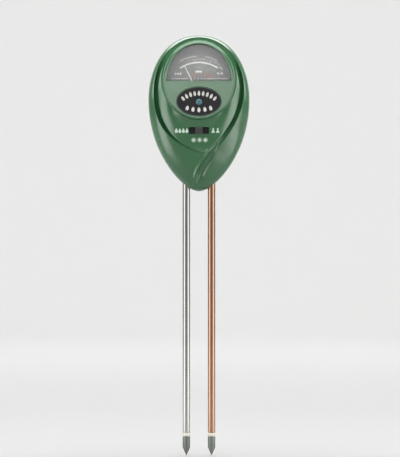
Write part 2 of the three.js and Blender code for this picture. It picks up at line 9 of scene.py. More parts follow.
import bmesh
import bpy
import numpy as np
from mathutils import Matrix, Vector


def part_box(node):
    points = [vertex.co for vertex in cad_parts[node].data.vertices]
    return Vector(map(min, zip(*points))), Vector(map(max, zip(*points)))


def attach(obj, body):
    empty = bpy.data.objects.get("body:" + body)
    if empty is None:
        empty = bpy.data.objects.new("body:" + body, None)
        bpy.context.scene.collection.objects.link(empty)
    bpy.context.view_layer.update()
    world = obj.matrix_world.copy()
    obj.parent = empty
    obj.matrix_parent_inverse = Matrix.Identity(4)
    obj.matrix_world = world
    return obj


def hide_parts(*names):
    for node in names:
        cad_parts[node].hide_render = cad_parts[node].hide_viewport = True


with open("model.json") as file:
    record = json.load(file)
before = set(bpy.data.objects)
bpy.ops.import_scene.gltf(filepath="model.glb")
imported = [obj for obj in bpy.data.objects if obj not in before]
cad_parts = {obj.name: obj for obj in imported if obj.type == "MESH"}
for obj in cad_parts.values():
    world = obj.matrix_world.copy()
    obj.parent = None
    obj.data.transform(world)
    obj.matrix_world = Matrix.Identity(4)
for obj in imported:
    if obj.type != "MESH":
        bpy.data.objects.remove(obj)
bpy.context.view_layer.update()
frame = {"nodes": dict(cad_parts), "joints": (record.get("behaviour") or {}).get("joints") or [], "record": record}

MM = 0.001
QUARTER = math.pi / 2


def node_box(node):
    """Lowest and highest corner of a CAD node, in millimetres."""
    low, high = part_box(node)
    return np.array(low) / MM, np.array(high) / MM


def centre_of(node):
    return sum(node_box(node)) / 2


# ---- sizes read from the frame ----
SHELL_LOW, SHELL_HIGH = node_box("front_shell")
WINDOW_LOW, WINDOW_HIGH = node_box("dial_window")
BADGE_LOW, BADGE_HIGH = node_box("nameplate")
LENS_LOW, LENS_HIGH = node_box("sensor_lens")
KNOB_LOW, KNOB_HIGH = node_box("switch_knob")
TRAY_LOW, TRAY_HIGH = node_box("switch_body")
DIAL_FACE = node_box("dial_plate")[0][1]
SWING = next(j for j in frame["joints"] if j["name"] == "needle_swing")
PIVOT = np.array(SWING["pos_m"]) / MM
SIDES = ("left", "right")
PROBE_X = {side: centre_of(f"probe_tube_{side}")[0] for side in SIDES}
CASE_SCREWS = [f"case_screw_{i}" for i in (1, 2, 3)]

# ---- form of the head ----
HALF_WIDTH = SHELL_HIGH[0]
CROWN_Z = SHELL_HIGH[2]
TAIL_Z = SHELL_LOW[2]
HEAD_Z = TAIL_Z + (CROWN_Z - TAIL_Z) * 63 / 106  # the widest place
TOP_POWER = 0.88
BOTTOM_POWER = 1.42
FLAT_SHARE = 0.5
EDGE_POWER = 0.8
PARTING = 0.15
REAR_DEPTH = node_box("rear_cover")[1][1]
PLATEAU_DEPTH = -SHELL_LOW[1]
FRONT_DEPTH = PLATEAU_DEPTH - 1.6
PLATEAU_Z = WINDOW_LOW[2] + 0.1
PLATEAU_RX = 24.2
PLATEAU_RZ = 26.0
INNER_SCALE = 0.925
FRONT_WALL = 3.2
REAR_WALL = 2.6
PLATEAU_WALL = 2.2
PLATEAU_SIDE_WALL = 1.8
GROOVE_Z = 243.5
GROOVE_RX = 28.6
GROOVE_RZ = 34.0
JUNCTION = (4.5, 199.9)
LEFT_PULLS = ((-22, 209), (-28.6, 221))    # what the groove's lower sides bend towards
RIGHT_PULLS = ((28.6, 222), (11, 205))
SLOT_HALF = (6.65, 2.2)
SWITCH_Z = (KNOB_LOW[2] + KNOB_HIGH[2]) / 2
FIT = 0.3


# ---- node-based materials ----
class Surface:
    """A Principled material whose inputs are fed by noise in object coordinates."""

    def __init__(self, name, fixed=()):
        self.material = bpy.data.materials.new(name)
        self.material.use_nodes = True
        self.tree = self.material.node_tree
        self.shader = self.tree.nodes["Principled BSDF"]
        self.point = self.stretched((1, 1, 1))
        self.last_bump = None
        for socket, value in dict(fixed).items():
            self.shader.inputs[socket].default_value = value

    def add(self, kind, **values):
        node = self.tree.nodes.new(kind)
        for key, value in values.items():
            if key in node.inputs.keys():
                node.inputs[key].default_value = value
            else:
                setattr(node, key, value)
        return node

    def link(self, source, target):
        self.tree.links.new(source, target)

    def stretched(self, scale):
        """Object coordinates scaled along each axis, so that patterns can run along a piece."""
        mapping = self.add("ShaderNodeMapping", Scale=scale)
        self.link(self.add("ShaderNodeTexCoord").outputs["Object"], mapping.inputs["Vector"])
        return mapping.outputs["Vector"]

    def noise(self, scale, detail, roughness=0.55, point=None):
        texture = self.add("ShaderNodeTexNoise", Scale=scale, Detail=detail, Roughness=roughness)
        self.link(point or self.point, texture.inputs["Vector"])
        return texture.outputs["Fac"]

    def feed(self, socket, source, low, high, start=0.3, end=0.7):
        """Source from start to end takes a socket from low to high, which are colours or numbers."""
        ramp = self.add("ShaderNodeValToRGB")
        self.link(source, ramp.inputs["Fac"])
        for element, place, value in zip(ramp.color_ramp.elements, (start, end), (low, high)):
            element.position = place
            element.color = (*value, 1) if isinstance(value, tuple) else (value, value, value, 1)
        self.link(ramp.outputs["Color"], self.shader.inputs[socket])

    def bump(self, height, strength, distance):
        """Lays one more bump over the ones before."""
        node = self.add("ShaderNodeBump", Strength=strength, Distance=distance)
        self.link(height, node.inputs["Height"])
        if self.last_bump:
            self.link(self.last_bump.outputs["Normal"], node.inputs["Normal"])
        self.link(node.outputs["Normal"], self.shader.inputs["Normal"])
        self.last_bump = node


def srgb(*values):
    """A linear colour from 0 to 255 display values."""
    shares = [v / 255 for v in values]
    return tuple(s / 12.92 if s <= 0.04045 else ((s + 0.055) / 1.055) ** 2.4 for s in shares)


def darker(color, factor):
    return tuple(c * factor for c in color)


def plastic(name, color, roughness, grain=0.25, spread=0.1, gloss=0.5):
    """Moulded plastic: slow colour drift, fine texture, and uneven gloss."""
    surface = Surface(name, {"Specular IOR Level": gloss})
    surface.feed("Base Color", surface.noise(55, 4), darker(color, 0.93), darker(color, 1.05))
    surface.feed("Roughness", surface.noise(260, 5, 0.6), roughness - spread / 2, roughness + spread / 2)
    surface.bump(surface.noise(120, 2), 0.1, 0.0006)
    surface.bump(surface.noise(3800, 2), grain, 0.00003)
    return surface.material


def metal(name, color, roughness, along=(1, 1, 1), line=0.25, stain=0.9, spread=0.12):
    """Bare metal: drawn or turned lines along the squeezed axis, with a little tarnish."""
    surface = Surface(name, {"Metallic": 1.0})
    surface.feed("Base Color", surface.noise(90, 6, 0.6), darker(color, stain), color, 0.35, 0.62)
    lines = surface.noise(2600, 3, point=surface.stretched(along))
    surface.feed("Roughness", lines, roughness - spread / 2, roughness + spread / 2, 0.3, 0.75)
    surface.bump(lines, line, 0.00002)
    return surface.material


def paint(name, color, roughness=0.55):
    """A thin printed or painted layer with a slightly broken surface."""
    surface = Surface(name)
    tone = surface.noise(900, 4)
    surface.feed("Base Color", tone, darker(color, 0.94), color)
    surface.feed("Roughness", tone, roughness + 0.06, roughness - 0.06)
    surface.bump(surface.noise(5200, 2), 0.2, 0.00001)
    return surface.material


def clear_plastic(name):
    """A polished clear pane that shows what is behind it, with faint moulding waves."""
    surface = Surface(name, {"Base Color": (0.2, 0.21, 0.21, 1), "Alpha": 0.16})
    surface.feed("Roughness", surface.noise(160, 4), 0.03, 0.1)
    surface.bump(surface.noise(45, 1), 0.04, 0.0005)
    return surface.material


def lens_plastic(name, color):
    """Cloudy tinted plastic under a clear gloss."""
    surface = Surface(name, {"Coat Weight": 0.6})
    cloud = surface.noise(700, 3)
    surface.feed("Base Color", cloud, darker(color, 0.8), color)
    surface.feed("Roughness", cloud, 0.08, 0.16)
    surface.bump(surface.noise(900, 2), 0.05, 0.00005)
    return surface.material


DRAWN = (1, 1, 0.003)    # draws the noise out into lines along a probe
GREEN = plastic("green_abs", srgb(34, 80, 46), 0.25, grain=0.1, spread=0.05, gloss=0.75)
BADGE_BLACK = plastic("badge_black", srgb(26, 25, 27), 0.45, grain=0.6, gloss=0.2)
BLACK = plastic("black_abs", srgb(18, 19, 19), 0.45, gloss=0.3)
KNOB_GREY = plastic("knob_grey", srgb(52, 54, 53), 0.5, gloss=0.3)
CREAM = plastic("cream_nylon", srgb(200, 197, 182), 0.5)
WHITE = paint("print_white", srgb(196, 195, 190))
DIAL_WHITE = paint("dial_white", srgb(244, 243, 238))
SCALE_GREEN = paint("print_green", srgb(134, 190, 152))
SCALE_RED = paint("print_red", srgb(172, 140, 136))
LABEL = paint("print_label", srgb(164, 184, 166))
NEEDLE_WHITE = paint("needle_white", srgb(244, 242, 236), 0.45)
GLASS = clear_plastic("clear_window")
LENS = lens_plastic("lens_teal", srgb(52, 104, 114))
PUPIL = plastic("lens_pupil", srgb(58, 84, 88), 0.4, gloss=0.3)
STEEL = metal("bright_steel", srgb(205, 205, 202), 0.18, DRAWN, line=0.012, stain=0.95, spread=0.04)
COPPER = metal("bright_copper", srgb(204, 162, 138), 0.22, DRAWN, line=0.012, stain=0.94, spread=0.04)
ZINC = metal("turned_zinc", srgb(146, 150, 145), 0.34, along=(0.05, 0.05, 1), line=0.4, stain=0.72)
SCREW_STEEL = metal("plated_screw", srgb(190, 190, 188), 0.3, stain=0.85)

CARRIED = {
    "green_plastic": GREEN, "black_plastic": BLACK, "grey_plastic": KNOB_GREY, "cream_plastic": CREAM,
    "black_plate": BADGE_BLACK, "clear_window": GLASS, "teal_lens": LENS, "white_paint": NEEDLE_WHITE,
    "bright_steel": STEEL, "copper": COPPER, "zinc": ZINC, "screw_steel": SCREW_STEEL,
    "dial_grey": paint("dial_grey", srgb(146, 145, 144), 0.6),
    "brass": metal("turned_brass", srgb(196, 162, 96), 0.32, along=(0.1, 1, 0.1), stain=0.82),
    "aluminium": metal("stamped_aluminium", srgb(190, 192, 195), 0.38, along=(0.05, 1, 1)),
    "iron": metal("sintered_iron", srgb(92, 89, 86), 0.55, stain=0.7),
    "coil_copper": metal("enamelled_wire", srgb(158, 88, 52), 0.4, along=(0.04, 1, 1), line=0.6),
    "board_green": plastic("board_laminate", srgb(50, 96, 64), 0.5),
    "trimmer_blue": plastic("trimmer_blue", srgb(52, 92, 150), 0.45),
    "wire_red": plastic("wire_red", srgb(156, 44, 38), 0.5),
    "wire_black": plastic("wire_black", srgb(34, 34, 34), 0.5),
}


def dress_cad_nodes():
    """Gives every CAD node the procedural material of its slot."""
    for part in frame["record"]["subparts"]:
        mesh = frame["nodes"][part["node"]].data
        for index in range(len(mesh.materials)):
            mesh.materials[index] = CARRIED[part["material_slot"]]


# ---- mesh helpers ----
def put(name, data):
    """A new object in the scene."""
    obj = bpy.data.objects.new(name, data)
    bpy.context.collection.objects.link(obj)
    return obj


def finish_piece(mesh, material, slot, replaced=(), body="housing", crease=35):
    """Makes the mesh a piece of the same name, shaded smooth except at creases."""
    mesh.materials.append(material)
    mesh.shade_smooth()
    mesh.set_sharp_from_angle(angle=math.radians(crease))
    piece = put(mesh.name, mesh)
    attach(piece, body)
    if replaced:
        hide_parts(*replaced)
    return piece


def mesh_of(name, points, faces):
    mesh = bpy.data.meshes.new(name)
    mesh.from_pydata([tuple(np.array(p) * MM) for p in points], [], faces)
    mesh.update()
    return mesh


def outward(mesh):
    """Turns the faces of a closed mesh outward."""
    bm = bmesh.new()
    bm.from_mesh(mesh)
    bmesh.ops.recalc_face_normals(bm, faces=bm.faces)
    bm.to_mesh(mesh)
    bm.free()
    return mesh


def ring_faces(first, second, count):
    """Quads between two closed rings of count points that start at these indices."""
    turns = [(i, (i + 1) % count) for i in range(count)]
    return [(first + i, first + j, second + j, second + i) for i, j in turns]


def ring_solid(name, rings, closed=False):
    """A solid through rings of equal size. It is capped at its ends, or closes on its first ring."""
    count = len(rings[0])
    starts = list(range(0, len(rings) * count, count))
    nexts = starts[1:] + (starts[:1] if closed else [])
    faces = []
    for first, second in zip(starts, nexts):
        faces += ring_faces(first, second, count)
    if not closed:
        faces += [tuple(range(count - 1, -1, -1)), tuple(range(starts[-1], starts[-1] + count))]
    return outward(mesh_of(name, [p for ring in rings for p in ring], faces))


def ellipse_outline(rx, rz, centre, count=72):
    t = np.linspace(0, 2 * math.pi, count, endpoint=False)
    return [(centre[0] + rx * math.cos(a), centre[1] + rz * math.sin(a)) for a in t]


SUPPORT_GAP = 0.3


def supported(profile):
    """The profile with a point close to each end of its long lines, so that they shade straight."""
    points = [profile[0]]
    for start, end in zip(profile, profile[1:]):
        length = math.dist(start, end)
        if length > 4 * SUPPORT_GAP:
            for share in (SUPPORT_GAP / length, 1 - SUPPORT_GAP / length):
                points.append(tuple(a + (b - a) * share for a, b in zip(start, end)))
        points.append(end)
    return points


def turned_mesh(name, profile, centre, axis, count=64):
    """A profile of (radius, height) turned about axis 'y' or 'z' through centre."""
    profile = supported(profile)
    closed = profile[0] == profile[-1]
    rings = []
    for radius, height in profile[:-1] if closed else profile:
        circle = ellipse_outline(radius, radius, centre, count)
        rings.append([(a, b, height) if axis == "z" else (a, height, b) for a, b in circle])
    return ring_solid(name, rings, closed)


def rounded_corner(inside, outside, steps=4):
    """Points of a quarter-round corner from inside to outside, both (radius, height)."""
    (r0, h0), (r1, h1) = inside, outside
    turns = [QUARTER * i / steps for i in range(steps + 1)]
    return [(r0 + (r1 - r0) * math.sin(a), h1 + (h0 - h1) * math.cos(a)) for a in turns]


def add_bevel(piece, width, segments):
    bevel = piece.modifiers.new("bevel", "BEVEL")
    bevel.width = width * MM
    bevel.segments = segments
    bevel.limit_method = "ANGLE"
    bevel.angle_limit = math.radians(30)


def box_points(low, high):
    return [(x, y, z) for x in (low[0], high[0]) for y in (low[1], high[1]) for z in (low[2], high[2])]


BOX_FACES = [(0, 1, 3, 2), (4, 6, 7, 5), (0, 4, 5, 1), (2, 3, 7, 6), (0, 2, 6, 4), (1, 5, 7, 3)]


def boxes_mesh(name, boxes):
    """One mesh of separate boxes given as (low, high) corners."""
    points, faces = [], []
    for low, high in boxes:
        faces += [tuple(len(points) + i for i in face) for face in BOX_FACES]
        points += box_points(low, high)
    return outward(mesh_of(name, points, faces))


def prism_mesh(name, outlines, front, back):
    """Flat outlines of (x, z) points made thick from y front to y back, in one mesh."""
    points, faces = [], []
    for outline in outlines:
        start, count = len(points), len(outline)
        points += [(x, front, z) for x, z in outline] + [(x, back, z) for x, z in outline]
        faces += ring_faces(start, start + count, count)
        faces.append(tuple(range(start + count - 1, start - 1, -1)))
        faces.append(tuple(range(start + count, start + 2 * count)))
    return outward(mesh_of(name, points, faces))


def carve(piece, cutter_mesh, crease=35):
    """Cuts closed cutters out of a closed piece, and removes them."""
    cutter = put("cutter", cutter_mesh)
    modifier = piece.modifiers.new("carve", "BOOLEAN")
    modifier.operation = "DIFFERENCE"
    modifier.solver = "EXACT"
    modifier.object = cutter
    deps = bpy.context.evaluated_depsgraph_get()
    carved = bpy.data.meshes.new_from_object(piece.evaluated_get(deps))
    piece.modifiers.clear()
    piece.data = carved
    carved.set_sharp_from_angle(angle=math.radians(crease))
    bpy.data.objects.remove(cutter)


# ---- form of the head as functions ----
def smooth_step(value, low, high):
    share = np.clip((value - low) / (high - low), 0, 1)
    return share * share * (3 - 2 * share)


def outline_points(count=4000):
    """The head outline seen from the front, relative to the widest place."""
    t = np.linspace(0, 2 * math.pi, count, endpoint=False)
    across, up = np.cos(t), np.sin(t)
    power = np.where(up >= 0, TOP_POWER, BOTTOM_POWER)
    reach = np.where(up >= 0, CROWN_Z - HEAD_Z, HEAD_Z - TAIL_Z)
    return np.stack([HALF_WIDTH * np.sign(across) * np.abs(across) ** power, reach * up], axis=1)


def bezier(p0, p1, p2, p3, count):
    t = np.linspace(0, 1, count)[:, None]
    p0, p1, p2, p3 = map(np.array, (p0, p1, p2, p3))
    return (1 - t) ** 3 * p0 + 3 * (1 - t) ** 2 * t * p1 + 3 * (1 - t) * t**2 * p2 + t**3 * p3


def groove_line(count=500):
    """The drop-shaped groove: from the junction up the left side, over the crown, down the right."""
    left = bezier(JUNCTION, *LEFT_PULLS, (-GROOVE_RX, GROOVE_Z), count)
    t = np.linspace(math.pi, 0, count)
    top = np.stack([GROOVE_RX * np.cos(t), GROOVE_Z + GROOVE_RZ * np.sin(t)], axis=1)
    right = bezier((GROOVE_RX, GROOVE_Z), *RIGHT_PULLS, JUNCTION, count)
    return np.concatenate([left, top[1:-1], right[:-1]]) - (0, HEAD_Z)


STEM_POINTS = [
    (17.4, 213.3), (14.9, 210.2), (12.6, 207.5), (10.4, 205.0), (8.5, 201.9), (6.4, 198.0),
    (3.7, 193.9), (1.4, 190.2), (0.1, 187.1), (-0.7, 184.2), (-1.1, 181.2), (-1.2, 178.4),
]
STEM_EASE = 15    # points of the line over which its corners are rounded, each way


def stem_line(count=240):
    """The S-shaped valley that runs on from the right side of the groove to the tail."""
    points = np.array(STEM_POINTS) - (0, HEAD_Z)
    share = np.linspace(0, 1, len(points))
    t = np.linspace(0, 1, count)
    line = np.stack([np.interp(t, share, points[:, k]) for k in (0, 1)], axis=1)
    kernel = np.hanning(2 * STEM_EASE + 1)
    kernel = kernel / kernel.sum()
    padded = np.pad(line, ((STEM_EASE, STEM_EASE), (0, 0)), mode="edge")
    return np.stack([np.convolve(padded[:, k], kernel, "valid") for k in (0, 1)], axis=1)


def polar_radius(points, angles):
    """Radius of a closed curve round the widest place at each angle."""
    around = np.arctan2(points[:, 1], points[:, 0])
    order = np.argsort(around)
    return np.interp(angles, around[order], np.hypot(*points.T)[order], period=2 * math.pi)


BLUNT = math.radians(5)         # how far to each side the tip of the tail is rounded
BLUNT_REACH = math.radians(40)


def outline_radius(angles):
    """Radius of the head outline, with the very tip of the tail rounded."""
    radius = polar_radius(outline_points(), angles)
    turn = np.abs(np.angle(np.exp(1j * (angles + QUARTER))))
    rounded = polar_radius(outline_points(), np.hypot(turn, BLUNT) - QUARTER)
    return np.where(turn < BLUNT_REACH, np.minimum(radius, rounded), radius)


def plateau_radius(angles, offset):
    """Radius, round the widest place, of the raised disc's edge grown by offset."""
    t = np.linspace(0, 2 * math.pi, 2000, endpoint=False)
    across = (PLATEAU_RX + offset) * np.cos(t)
    up = PLATEAU_Z - HEAD_Z + (PLATEAU_RZ + offset) * np.sin(t)
    return polar_radius(np.stack([across, up], axis=1), angles)


def nearest(points, line):
    """Signed distance to a line, positive on its left, and the share of its length where it is closest."""
    gaps = np.hypot(points[:, None, 0] - line[None, :, 0], points[:, None, 1] - line[None, :, 1])
    index = gaps.argmin(axis=1)
    away = points - line[index]
    ahead = np.gradient(line, axis=0)[index]
    ahead = ahead / np.hypot(*ahead.T)[:, None]
    across = away[:, 1] * ahead[:, 0] - away[:, 0] * ahead[:, 1]
    ends = (index == 0) | (index == len(line) - 1)
    distance = np.where(ends, np.sign(across) * np.hypot(*away.T), across)
    return distance, index / (len(line) - 1)


def edge_share(turn):
    """Share of the outline reached when the rounded edge has turned this far towards the middle."""
    return FLAT_SHARE + (1 - FLAT_SHARE) * np.cos(turn) ** EDGE_POWER


def dome_depth(share, depth):
    """Depth of the rounded head where share of the outline is reached."""
    across = np.clip((share - FLAT_SHARE) / (1 - FLAT_SHARE), 0, 1)
    return PARTING + (depth - PARTING) * (1 - across ** (2 / EDGE_POWER)) ** (EDGE_POWER / 2)


def smooth_max(a, b, radius):
    share = np.clip(0.5 + 0.5 * (a - b) / radius, 0, 1)
    return b + (a - b) * share + radius * share * (1 - share)


TAPER_TOP = PLATEAU_Z - PLATEAU_RZ + 3.5
TAPER = 0.3
TAPER_EASE = 3.0


def taper(z):
    """Share of the front depth left at height z: the lower panel leans back towards the tail."""
    low = np.clip(TAPER_TOP - z, 0, None)
    eased = low**2 / (low + TAPER_EASE) * (1 + TAPER_EASE / (TAPER_TOP - TAIL_Z))
    return 1 - TAPER * eased / (TAPER_TOP - TAIL_Z)


PLATEAU_FILLET = 1.0
SKIRT_SLOPE = 5.0
CROWN_CHAMFER = 1.65     # the plateau's edge is bevelled widely at the crown
CHAMFER_SLOPE = 0.95


def plateau_depth(points):
    """Depth of the raised disc, with a rounded rim and a steep skirt."""
    x, z = points[:, 0], points[:, 1] + HEAD_Z - PLATEAU_Z
    size = np.maximum(np.hypot(x / PLATEAU_RX, z / PLATEAU_RZ), 1e-6)
    slope = np.hypot(x / PLATEAU_RX**2, z / PLATEAU_RZ**2) / size
    offset = (size - 1) / slope
    into = np.clip(offset + PLATEAU_FILLET, 0, None)
    turn = PLATEAU_FILLET * math.sin(math.atan(SKIRT_SLOPE))
    round_drop = PLATEAU_FILLET - np.sqrt(np.clip(PLATEAU_FILLET**2 - np.minimum(into, turn) ** 2, 0, None))
    round_drop = round_drop + np.clip(into - turn, 0, None) * SKIRT_SLOPE
    slope_in = np.clip(offset + CROWN_CHAMFER, 0, None)
    chamfer_drop = slope_in**2 / (slope_in + 0.5) * CHAMFER_SLOPE + np.clip(offset, 0, None) * SKIRT_SLOPE
    crown = smooth_step(z / PLATEAU_RZ, 0.0, 0.8)
    return PLATEAU_DEPTH - round_drop * (1 - crown) - chamfer_drop * crown


def groove_width(share):
    """Half-width of the groove along its line: a hair at the left end, full at the sides."""
    left = smooth_step(share, 0.0, 0.30)
    crown = 1 - 0.28 * np.exp(-(((share - 0.5) / 0.13) ** 2))
    right = 1 - 0.2 * smooth_step(share, 0.82, 1.0)
    return (0.4 + 1.15 * left) * crown * right


PILLOW_REACH = 10.0


def pillow_height(z):
    """How far the panel inside the groove drops below the body outside it."""
    sides = 0.7 * smooth_step(z, 200.5, 206) + 2.3 * smooth_step(z, 204, 220)
    return sides * (1 - 0.75 * smooth_step(z, 250, 268))


def groove_drop(points, inside):
    """Depth lost to the groove, and to the panel's edge that bends down towards it."""
    distance, share = nearest(points, groove_line())
    distance = np.abs(distance)
    width = groove_width(share)
    near_stem = smooth_step(share, 0.9, 0.975)
    deep = (0.4 + 0.75 * smooth_step(share, 0.02, 0.3)) * (1 - near_stem) * smooth_step(share, 0, 0.01)
    across = np.clip(distance / width, 0, 1)
    groove = deep * (1 - across**4) ** 0.5
    inner = np.clip(1 - distance / PILLOW_REACH, 0, 1) ** 1.6
    outer = 1 - smooth_step(distance, 0, width * 1.02)
    level = np.where(inside, inner, outer) * pillow_height(points[:, 1] + HEAD_Z)
    return groove + level


def stem_relief(points):
    """Depth of the valley, and height of the low ridge along its left edge."""
    across, share = nearest(points, stem_line())
    width = 1.4 + 0.5 * smooth_step(share, 0.2, 0.45) - 0.9 * smooth_step(share, 0.65, 1.0)
    deep = 1.3 * smooth_step(share, 0.0, 0.12) + 1.1 * smooth_step(share, 0.2, 0.45)
    deep = deep * (1 - smooth_step(share, 0.68, 1.0))
    soft = 0.3 + 2.6 * smooth_step(share, 0.05, 0.75)
    left_wall = smooth_step(-across, width - 0.9, width + 0.25)
    right_wall = smooth_step(across, width - 1.0, width + soft)
    valley = deep * (1 - left_wall) * (1 - right_wall)
    along = smooth_step(share, 0.3, 0.5) * (1 - smooth_step(share, 0.74, 0.98))
    ridge = 0.6 * np.exp(-(((-across - width - 0.8) / 0.85) ** 2)) * along
    return valley, ridge


def right_lobe(points):
    """Grows from 0 at the valley to 1 on the body to its right, which falls away from it."""
    stem = stem_line()
    groove = groove_line()
    above = (groove[:, 0] > 0) & (groove[:, 1] > stem[0, 1])
    edge = np.concatenate([groove[above], stem])
    distance = np.abs(nearest(points, edge)[0])
    order = np.argsort(-edge[:, 1])
    edge_x = np.interp(-points[:, 1], -edge[order, 1], edge[order, 0])
    low = 1 - smooth_step(points[:, 1] + HEAD_Z, 214, 236)
    return (points[:, 0] > edge_x) * low * (1 - np.exp(-distance / 7.0))


LOBE_FALL = 0.27
LEAST_WALL = 1.5


def front_depth(points, share, inside):
    """Depth of the front surface at points relative to the widest place."""
    dome = dome_depth(share, FRONT_DEPTH) * taper(points[:, 1] + HEAD_Z)
    dome = dome * (1 - LOBE_FALL * right_lobe(points))
    fade = 1 - smooth_step(share, 0.985, 1.0)
    valley, ridge = stem_relief(points)
    dome = dome - (np.maximum(groove_drop(points, inside), valley) - ridge) * fade
    return smooth_max(plateau_depth(points), dome, 1.1)


def head_angles():
    """Directions round the head, closer together at the tail."""
    coarse = np.arange(-62, 246, 1.1)
    fine = np.arange(-114, -62, 0.28)
    return np.radians(np.concatenate([fine, coarse]))


def plan(angles, radius):
    """Points at a radius in each direction, relative to the widest place."""
    return np.stack([radius * np.cos(angles), radius * np.sin(angles)], axis=1)


def ring_at(angles, radius, y):
    x, z = plan(angles, radius).T
    return np.stack([x, np.broadcast_to(y, x.shape), HEAD_Z + z], axis=1)


class ShellBuilder:
    """Collects rings and flat fills of a closed shell in one bmesh."""

    def __init__(self):
        self.bm = bmesh.new()

    def skin(self, rings):
        """Joins rings of points in order. Returns the first and the last ring."""
        rings = [[self.bm.verts.new(Vector(p) * MM) for p in points] for points in rings]
        for first, second in zip(rings, rings[1:]):
            self.join(first, second)
        return rings[0], rings[-1]

    def join(self, first, second):
        count = len(first)
        for i in range(count):
            j = (i + 1) % count
            self.bm.faces.new((first[i], first[j], second[j], second[i]))

    def fill(self, loops):
        """Fills the flat area between the first loop and the others."""
        edges = []
        for loop in loops:
            for i, vert in enumerate(loop):
                pair = (vert, loop[(i + 1) % len(loop)])
                edges.append(self.bm.edges.get(pair) or self.bm.edges.new(pair))
        bmesh.ops.triangle_fill(self.bm, use_beauty=True, use_dissolve=False, edges=edges)

    def wall(self, outline_of, steps):
        """A hole's wall through (grow, y) steps. Returns its first and last ring."""
        return self.skin([(x, y, z) for x, z in outline_of(grow)] for grow, y in steps)

    def mesh(self, name):
        bmesh.ops.recalc_face_normals(self.bm, faces=self.bm.faces)
        mesh = bpy.data.meshes.new(name)
        self.bm.to_mesh(mesh)
        self.bm.free()
        return mesh


def window_outline(grow, count=72, ease=0.3):
    """The window's half ellipse with its fit, grown outward, and its two lower corners eased."""
    rx = WINDOW_HIGH[0] + FIT + grow
    rz = WINDOW_HIGH[2] - WINDOW_LOW[2] + 2 * FIT + grow
    arc_base = WINDOW_LOW[2] - FIT
    base = arc_base - grow
    t = np.linspace(0.03, math.pi - 0.03, count)
    arc = [(rx * math.cos(a), arc_base + rz * math.sin(a)) for a in t]
    left = [(-rx + ease * 0.25, base + ease * 0.6), (-rx + ease, base)]
    return arc + left + [(-x, z) for x, z in left[::-1]]


def badge_outline(grow):
    rx = BADGE_HIGH[0] + FIT + grow
    rz = (BADGE_HIGH[2] - BADGE_LOW[2]) / 2 + FIT + grow
    return ellipse_outline(rx, rz, centre_of("nameplate")[::2])


def lens_outline(grow):
    radius = LENS_HIGH[0] + FIT + grow
    return ellipse_outline(radius, radius, centre_of("sensor_lens")[::2], 40)


RIM_OFFSETS = (-1.85, -1.66, -1.35, -1.15, -1, -0.85, -0.68, -0.5, -0.34, -0.2, -0.1, -0.04,
               0.02, 0.1, 0.2, 0.32, 0.45)
HALF_GROOVE = (0.3, 0.55, 0.75, 0.88, 0.96, 1.0, 1.08)    # shares of the groove's half-width
LIP = 1.12
PANEL_STEPS = 26
EDGE_STEPS = 84
INNER_STEPS = 22
REAR_STEPS = 36
REAR_INNER_STEPS = 6
LEAST_STEP = 0.02


def front_stations(angles, outline, groove):
    """Radii of the front surface's rings, from the plateau's flat to the parting line."""
    stations = [plateau_radius(angles, offset) for offset in RIM_OFFSETS]
    rim = stations[-1]
    _, along = nearest(plan(angles, groove), groove_line())
    lean = np.gradient(groove, angles) / groove
    width = groove_width(along) * np.minimum(np.hypot(1, lean), 2.2)
    for k in range(1, PANEL_STEPS):
        stations.append(rim + (groove - width * LIP - rim) * (k / PANEL_STEPS) ** 1.5)
    across = [-a for a in HALF_GROOVE[::-1]] + [0, *HALF_GROOVE]
    stations += [groove + width * a for a in across]
    start = ((groove + width * LIP) / outline - FLAT_SHARE) / (1 - FLAT_SHARE)
    first_turn = np.arccos(np.clip(start, 0, 0.999) ** (1 / EDGE_POWER))
    for k in range(EDGE_STEPS + 1):
        stations.append(outline * edge_share(first_turn * (1 - k / EDGE_STEPS)))
    return np.maximum.accumulate(np.array(stations), axis=0)


def front_shell_mesh():
    """One closed skin: the outside, the seats of the window, plate and lens, and the inside."""
    angles = head_angles()
    outline = outline_radius(angles)
    groove = polar_radius(groove_line(), angles)

    def depth_at(radius):
        return front_depth(plan(angles, radius), np.minimum(radius / outline, 1), radius < groove)

    build = ShellBuilder()
    stations = front_stations(angles, outline, groove)
    rim, parting = build.skin(ring_at(angles, radius, -depth_at(radius)) for radius in stations)
    face, seat, back = -PLATEAU_DEPTH, -PLATEAU_DEPTH + 0.6, -PLATEAU_DEPTH + PLATEAU_WALL
    window_steps = [(0.3, face), (0.12, face), (0.04, face + 0.12), (0, face + 0.4), (0, back)]
    window_front, window_back = build.wall(window_outline, window_steps)
    badge_steps = [(0.5, face), (0.15, face), (0, face + 0.15), (0, seat)]
    badge_front, badge_floor = build.wall(badge_outline, badge_steps)
    lens_front, lens_back = build.wall(lens_outline, [(0, seat), (0, back)])
    build.fill([rim, window_front, badge_front])
    build.fill([badge_floor, lens_front])
    plateau_inside = plateau_radius(angles, -PLATEAU_SIDE_WALL)
    reach = outline * INNER_SCALE
    rings = []
    for k in range(INNER_STEPS + 1):
        narrowest = plateau_inside + LEAST_STEP * (7 - k)
        radius = np.maximum(reach * edge_share(QUARTER * k / INNER_STEPS), narrowest)
        depth = dome_depth(radius / reach, FRONT_DEPTH - FRONT_WALL) * taper(HEAD_Z + radius * np.sin(angles))
        depth = np.maximum(np.minimum(depth, depth_at(radius) - LEAST_WALL), PARTING)
        rings.append(ring_at(angles, radius, -depth))
    rings.append(ring_at(angles, plateau_inside, back))
    lip, ceiling = build.skin(rings)
    build.join(parting, lip)
    build.fill([ceiling, window_back, lens_back])
    return build.mesh("front_shell_skin")


def slot_cutter():
    low = (-SLOT_HALF[0], -30, SWITCH_Z - SLOT_HALF[1])
    high = (SLOT_HALF[0], -8, SWITCH_Z + SLOT_HALF[1])
    return boxes_mesh("slot_cutter", [(low, high)])


